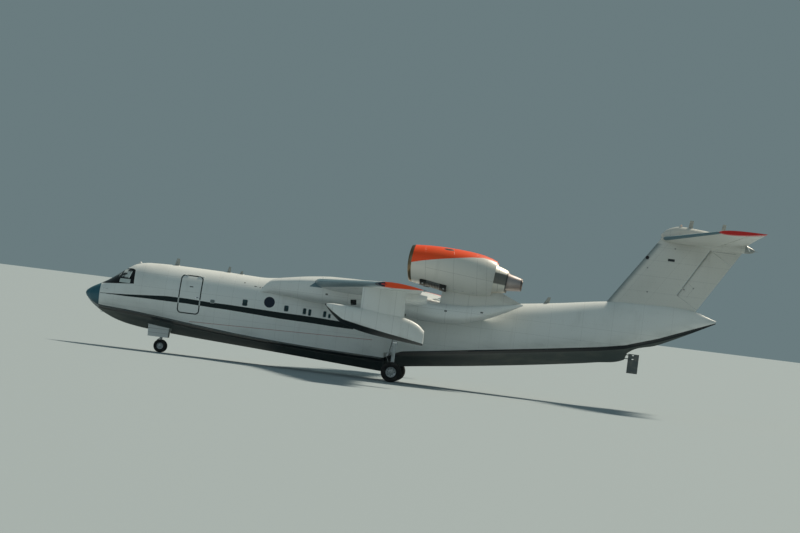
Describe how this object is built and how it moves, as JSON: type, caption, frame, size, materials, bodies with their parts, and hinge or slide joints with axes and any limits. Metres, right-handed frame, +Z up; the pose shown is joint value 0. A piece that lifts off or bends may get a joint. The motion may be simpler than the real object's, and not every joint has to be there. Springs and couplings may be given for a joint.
{
  "type": "twin-jet amphibious flying boat",
  "caption": "Amphibious flying boat with a stepped planing hull, swept shoulder wing, wing floats, overwing jet engines, T-tail and retractable wheels shown down.",
  "frame": {"origin": "on the ground under the middle of the overall length and span, as it parks on its wheels", "axes": "+X aft, so that the nose points to -X; +Y to starboard; +Z up"},
  "size_m": [31.43, 32.78, 9.29],
  "materials": {
    "white_paint": "semi-gloss white enamel, slightly weathered",
    "radome_paint": "satin teal rain-erosion paint",
    "orange_paint": "semi-gloss orange-red enamel",
    "nacelle_paint": "semi-gloss white and orange enamel with a bare metal lip",
    "dark_paint": "satin dark grey enamel",
    "cockpit_glass": "tinted laminated glass",
    "engine_metal": "matt machined metal",
    "hot_metal": "heat-stained sheet steel",
    "fan_metal": "satin titanium grey",
    "leg_paint": "gloss light grey enamel with bright sliding tubes",
    "wheel_metal": "cast light alloy, satin",
    "tyre": "matt black rubber"
  },
  "bodies": {
    "airframe": {"radome": "radome_paint", "forward_hull": "white_paint", "aft_hull": "white_paint", "windscreen_port": "cockpit_glass", "side_window_port": "cockpit_glass", "windscreen_stbd": "cockpit_glass", "side_window_stbd": "cockpit_glass", "wing_root_fairing_port": "white_paint", "wing_port": "white_paint", "wing_tip_port": "orange_paint", "flap_inner_port": "white_paint", "flap_outer_port": "white_paint", "float_port": "white_paint", "float_pylon_port": "white_paint", "engine_pylon_port": "white_paint", "nacelle_port": "nacelle_paint", "engine_core_port": "engine_metal", "nozzle_port": "hot_metal", "wing_root_fairing_stbd": "white_paint", "wing_stbd": "white_paint", "wing_tip_stbd": "orange_paint", "flap_inner_stbd": "white_paint", "flap_outer_stbd": "white_paint", "float_stbd": "white_paint", "float_pylon_stbd": "white_paint", "engine_pylon_stbd": "white_paint", "nacelle_stbd": "nacelle_paint", "engine_core_stbd": "engine_metal", "nozzle_stbd": "hot_metal", "fin": "white_paint", "tailplane": "white_paint", "tail_bullet": "white_paint", "nose_leg": "leg_paint", "main_leg_port": "leg_paint", "main_leg_stbd": "leg_paint", "nose_gear_door_port": "white_paint", "main_gear_door_port": "white_paint", "nose_gear_door_stbd": "white_paint", "main_gear_door_stbd": "white_paint"},
    "passenger_door": {"passenger_door": "white_paint"},
    "rudder": {"rudder": "white_paint"},
    "water_rudder": {"water_rudder": "dark_paint"},
    "nose_steering": {"nose_fork": "leg_paint"},
    "nose_wheels": {"nose_wheel_hub": "wheel_metal", "nose_tyre_a": "tyre", "nose_tyre_b": "tyre"},
    "aileron_port": {"aileron_port": "white_paint"},
    "elevator_port": {"elevator_port": "white_paint"},
    "fan_port": {"fan_port": "fan_metal"},
    "main_wheels_port": {"main_wheel_hub_port": "wheel_metal", "main_tyre_port_a": "tyre", "main_tyre_port_b": "tyre"},
    "aileron_stbd": {"aileron_stbd": "white_paint"},
    "elevator_stbd": {"elevator_stbd": "white_paint"},
    "fan_stbd": {"fan_stbd": "fan_metal"},
    "main_wheels_stbd": {"main_wheel_hub_stbd": "wheel_metal", "main_tyre_stbd_a": "tyre", "main_tyre_stbd_b": "tyre"}
  },
  "joints": [
    {"name": "door_hinge", "type": "hinge", "parent": "airframe", "child": "passenger_door", "pos_m": [-10.575, -0.938, 3.799], "axis": [-1, 0, 0], "range_deg": [0, 100]},
    {"name": "nose_steer", "type": "hinge", "parent": "airframe", "child": "nose_steering", "pos_m": [-11.865, 0, 0.85], "axis": [0, 0, 1], "range_deg": [-45, 45]},
    {"name": "nose_wheel_spin", "type": "hinge", "parent": "nose_steering", "child": "nose_wheels", "pos_m": [-11.865, 0, 0.31], "axis": [0, 1, 0], "continuous": true},
    {"name": "rudder_hinge", "type": "hinge", "parent": "airframe", "child": "rudder", "pos_m": [12.92, 0, 6.785], "axis": [0.4998, 0, 0.8661], "range_deg": [-25, 25]},
    {"name": "water_rudder_hinge", "type": "hinge", "parent": "airframe", "child": "water_rudder", "pos_m": [10.315, 0, 2.2275], "axis": [0, 0, 1], "range_deg": [-30, 30]},
    {"name": "main_wheel_spin_port", "type": "hinge", "parent": "airframe", "child": "main_wheels_port", "pos_m": [-0.715, -2.15, 0.475], "axis": [0, 1, 0], "continuous": true},
    {"name": "fan_spin_port", "type": "hinge", "parent": "airframe", "child": "fan_port", "pos_m": [-0.315, -2.5, 5.735], "axis": [0.9959, 0, -0.0902], "continuous": true},
    {"name": "aileron_hinge_port", "type": "hinge", "parent": "airframe", "child": "aileron_port", "pos_m": [0.1, -13.725, 4.3389], "axis": [-0.1046, 0.9943, -0.0201], "range_deg": [-20, 20]},
    {"name": "elevator_hinge_port", "type": "hinge", "parent": "airframe", "child": "elevator_port", "pos_m": [14.4592, -2.385, 8.5847], "axis": [-0.2228, 0.9704, -0.0934], "range_deg": [-25, 15]},
    {"name": "main_wheel_spin_stbd", "type": "hinge", "parent": "airframe", "child": "main_wheels_stbd", "pos_m": [-0.715, 2.15, 0.475], "axis": [0, 1, 0], "continuous": true},
    {"name": "fan_spin_stbd", "type": "hinge", "parent": "airframe", "child": "fan_stbd", "pos_m": [-0.315, 2.5, 5.735], "axis": [0.9959, 0, -0.0902], "continuous": true},
    {"name": "aileron_hinge_stbd", "type": "hinge", "parent": "airframe", "child": "aileron_stbd", "pos_m": [0.1, 13.725, 4.3389], "axis": [0.1046, 0.9943, 0.0201], "range_deg": [-20, 20]},
    {"name": "elevator_hinge_stbd", "type": "hinge", "parent": "airframe", "child": "elevator_stbd", "pos_m": [14.4592, 2.385, 8.5847], "axis": [0.2228, 0.9704, 0.0934], "range_deg": [-25, 15]}
  ],
  "couplings": [
    {"joint": "aileron_hinge_stbd", "follows": "aileron_hinge_port", "ratio": -1},
    {"joint": "elevator_hinge_stbd", "follows": "elevator_hinge_port", "ratio": 1}
  ]
}
